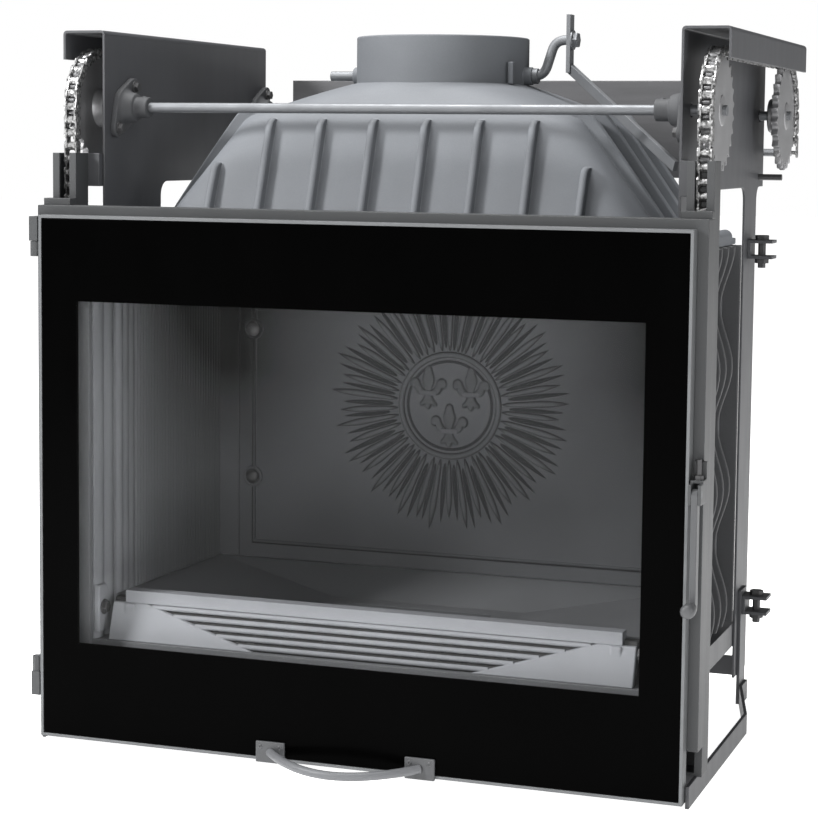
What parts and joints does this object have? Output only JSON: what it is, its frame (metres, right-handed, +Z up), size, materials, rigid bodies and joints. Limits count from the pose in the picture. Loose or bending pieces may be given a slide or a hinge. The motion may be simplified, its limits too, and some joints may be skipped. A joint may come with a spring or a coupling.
{
  "type": "fireplace insert",
  "caption": "Cast-iron fireplace insert with a chain-lifted glazed door that also swings open, a counterweight, a ribbed hood and a flue collar with a damper.",
  "frame": {"origin": "centre of the base rectangle on the floor", "axes": "+X to the right of someone facing the door, +Y from the door to the back, +Z up"},
  "size_m": [0.822, 0.6862, 0.882],
  "materials": {
    "hood_iron": "matt blue-grey heat-resistant paint on cast iron",
    "box_iron": "matt dark grey paint on cast iron",
    "fire_iron": "bare cast iron, darkened",
    "frame_paint": "satin dark grey paint",
    "lift_paint": "satin mid-grey paint",
    "door_steel": "thin bright edge",
    "handle_paint": "satin grey",
    "chain_steel": "oiled steel",
    "wheel_steel": "turned steel",
    "bar_steel": "bright drawn steel",
    "bearing_iron": "painted cast iron",
    "bolt_steel": "zinc-plated steel",
    "weight_steel": "rolled steel with primer",
    "window_glass": "clear glass ceramic",
    "print_black": "opaque black print",
    "rope": "woven glass-fibre rope"
  },
  "bodies": {
    "fixed_body": {"left_side_plate": "frame_paint", "right_side_plate": "frame_paint", "left_guide_rail": "lift_paint", "right_guide_rail": "lift_paint", "frame_brackets": "frame_paint", "foot_bars": "frame_paint", "rear_feet": "frame_paint", "cross_bars": "frame_paint", "side_rails": "frame_paint", "frame_bolts": "bolt_steel", "front_bearings": "bearing_iron", "rear_bearings": "bearing_iron", "mouth_frame": "box_iron", "side_walls": "box_iron", "rear_wall": "box_iron", "side_liners": "fire_iron", "fireback": "fire_iron", "fireback_bolts": "bolt_steel", "hearth_base": "box_iron", "grate": "fire_iron", "ash_box": "frame_paint", "front_sill": "fire_iron", "log_bar": "fire_iron", "smoke_baffle": "box_iron", "hood": "hood_iron", "flue_collar": "hood_iron", "left_chain": "chain_steel", "right_chain": "chain_steel"},
    "lift_carriage": {"lift_frame": "lift_paint", "lift_seal": "rope", "frame_tabs": "lift_paint", "slide_shoes": "lift_paint", "hinge_blocks": "lift_paint", "latch_bracket": "lift_paint", "pivot_pins": "bar_steel", "latch_screw": "bolt_steel"},
    "door": {"door_frame": "door_steel", "door_glass": "window_glass", "printed_border": "print_black", "glass_seal": "rope", "door_seal": "rope", "hinge_knuckles": "lift_paint", "handle_plates": "handle_paint", "handle_bar": "handle_paint"},
    "latch": {"latch_lever": "handle_paint", "latch_knob": "handle_paint"},
    "front_drive": {"drive_shaft": "bar_steel", "left_front_sprocket": "wheel_steel", "right_front_sprocket": "wheel_steel"},
    "left_rear_wheel": {"left_rear_sprocket": "wheel_steel", "left_stub_shaft": "bar_steel"},
    "right_rear_wheel": {"right_rear_sprocket": "wheel_steel", "right_stub_shaft": "bar_steel"},
    "balance_weight": {"counterweight": "weight_steel", "hanger_pins": "bar_steel"},
    "damper": {"damper_spindle": "bar_steel", "damper_flap": "bar_steel"},
    "damper_link": {"damper_link": "bar_steel"}
  },
  "joints": [
    {"name": "door_lift", "type": "slide", "parent": "fixed_body", "child": "lift_carriage", "axis": [0, 0, 1], "range_m": [0, 0.4445], "deforming": ["left_chain", "right_chain"]},
    {"name": "door_swing", "type": "hinge", "parent": "lift_carriage", "child": "door", "pos_m": [-0.4025, -0.28105, 0.32], "axis": [0, 0, -1], "range_deg": [0, 100]},
    {"name": "latch_turn", "type": "hinge", "parent": "lift_carriage", "child": "latch", "pos_m": [0.403, -0.29505, 0.351], "axis": [-1, 0, 0], "range_deg": [0, 95]},
    {"name": "drive_turn", "type": "hinge", "parent": "fixed_body", "child": "front_drive", "pos_m": [0, -0.14905, 0.763], "axis": [-1, 0, 0], "range_deg": [-1, 389]},
    {"name": "left_wheel_turn", "type": "hinge", "parent": "fixed_body", "child": "left_rear_wheel", "pos_m": [-0.3885, 0.2637, 0.763], "axis": [-1, 0, 0], "range_deg": [-1, 389]},
    {"name": "right_wheel_turn", "type": "hinge", "parent": "fixed_body", "child": "right_rear_wheel", "pos_m": [0.3885, 0.2637, 0.763], "axis": [-1, 0, 0], "range_deg": [-1, 389]},
    {"name": "weight_drop", "type": "slide", "parent": "fixed_body", "child": "balance_weight", "axis": [0, 0, -1], "range_m": [-0.001, 0.446]},
    {"name": "damper_turn", "type": "hinge", "parent": "fixed_body", "child": "damper", "pos_m": [0, 0.03295, 0.807], "axis": [1, 0, 0], "range_deg": [0, 45]},
    {"name": "link_turn", "type": "hinge", "parent": "damper", "child": "damper_link", "pos_m": [0.1645, 0.03295, 0.851], "axis": [1, 0, 0], "range_deg": [-46, 1]}
  ],
  "couplings": [
    {"joint": "drive_turn", "follows": "door_lift", "rad_per_m": 15.223},
    {"joint": "left_wheel_turn", "follows": "door_lift", "rad_per_m": 15.223},
    {"joint": "right_wheel_turn", "follows": "door_lift", "rad_per_m": 15.223},
    {"joint": "weight_drop", "follows": "door_lift", "ratio": 1},
    {"joint": "link_turn", "follows": "damper_turn", "ratio": -1}
  ]
}
